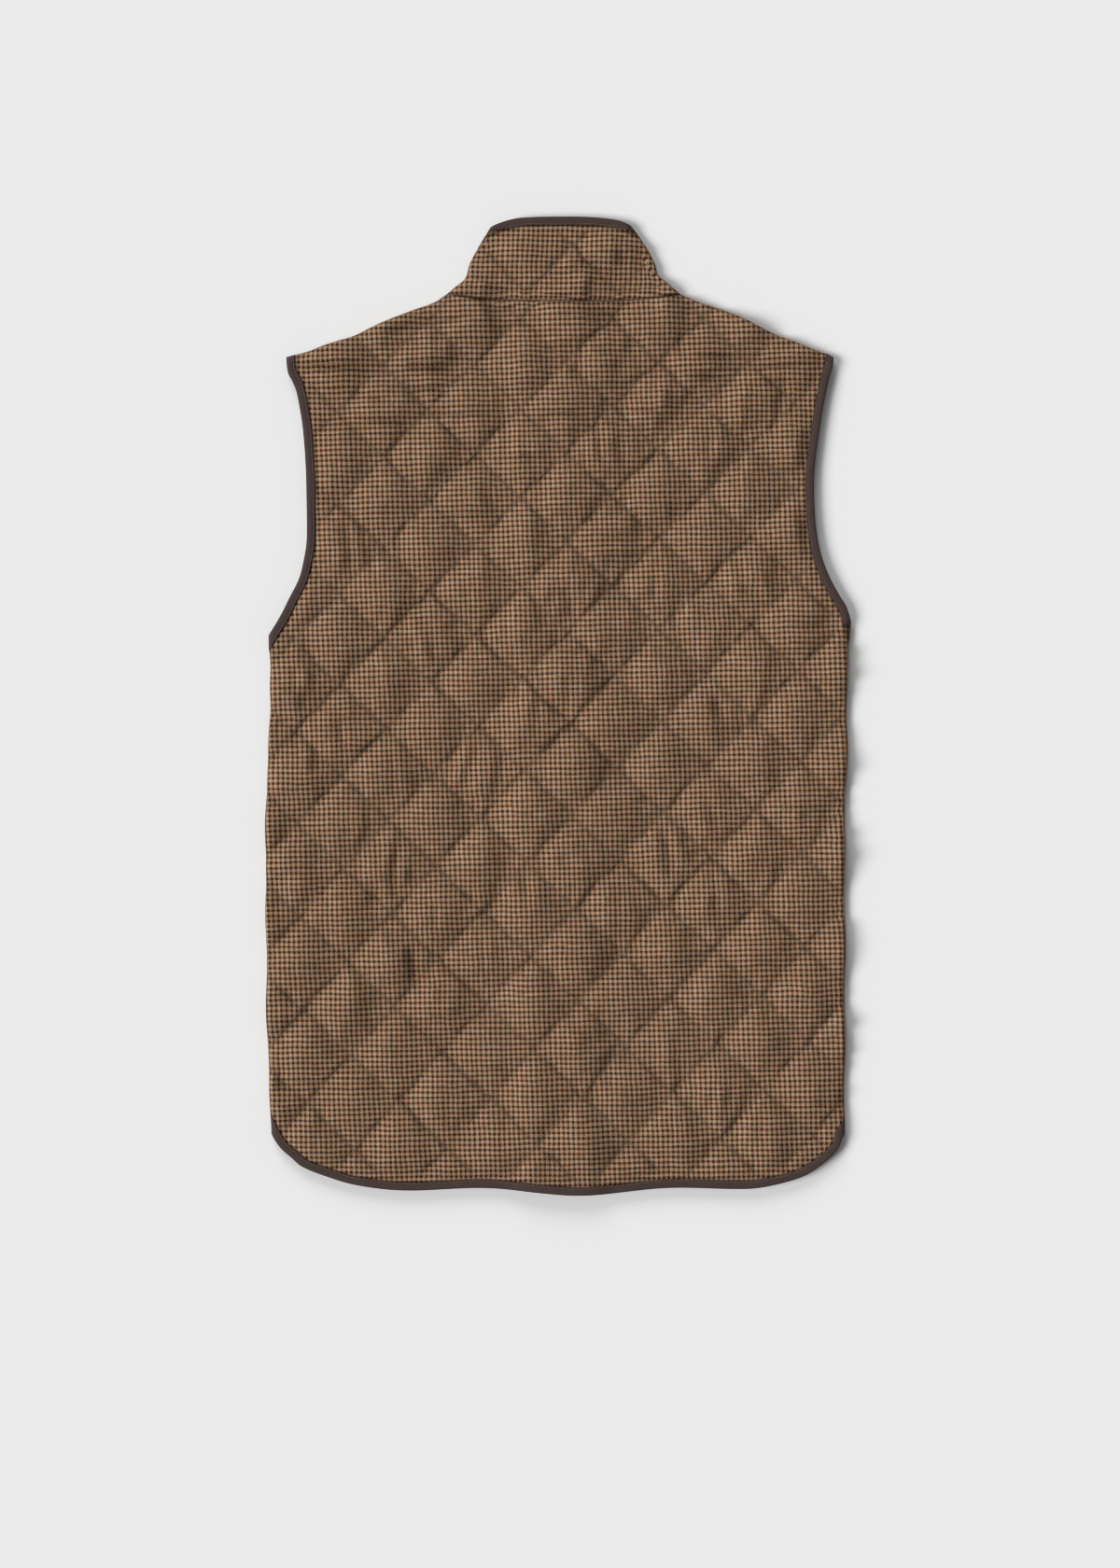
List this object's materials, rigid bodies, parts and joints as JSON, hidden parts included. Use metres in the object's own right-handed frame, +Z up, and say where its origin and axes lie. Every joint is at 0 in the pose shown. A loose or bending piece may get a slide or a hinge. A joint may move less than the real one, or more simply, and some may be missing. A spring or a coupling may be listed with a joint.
{
  "type": "quilted vest",
  "caption": "Sleeveless diamond-quilted garment with a stand collar and bound edges, laid flat with its back uppermost.",
  "frame": {"origin": "centre of the footprint, on the surface that the vest lies on", "axes": "+Y from the hem to the collar, +Z up out of the back, +X towards the wearer's right side as it lies"},
  "size_m": [0.5017, 0.8372, 0.0172],
  "materials": {
    "tweed": "padded wool tweed in a small two-colour check",
    "binding": "matt dark brown fine twill",
    "stud": "darkened"
  },
  "bodies": {
    "root": {"back": "tweed", "front_left": "tweed", "front_right": "tweed", "collar_back": "tweed", "collar_front_left": "tweed", "collar_front_right": "tweed", "hem_binding_back": "binding", "armhole_binding_left": "binding", "armhole_binding_right": "binding", "armhole_binding_left_front": "binding", "armhole_binding_right_front": "binding", "collar_binding_back": "binding", "collar_binding_front_left": "binding", "collar_binding_front_right": "binding", "front_binding_left": "binding", "front_binding_right": "binding", "press_stud_1": "stud", "press_stud_2": "stud", "press_stud_3": "stud", "press_stud_4": "stud", "press_stud_5": "stud", "press_stud_6": "stud", "press_stud_7": "stud"}
  },
  "joints": []
}
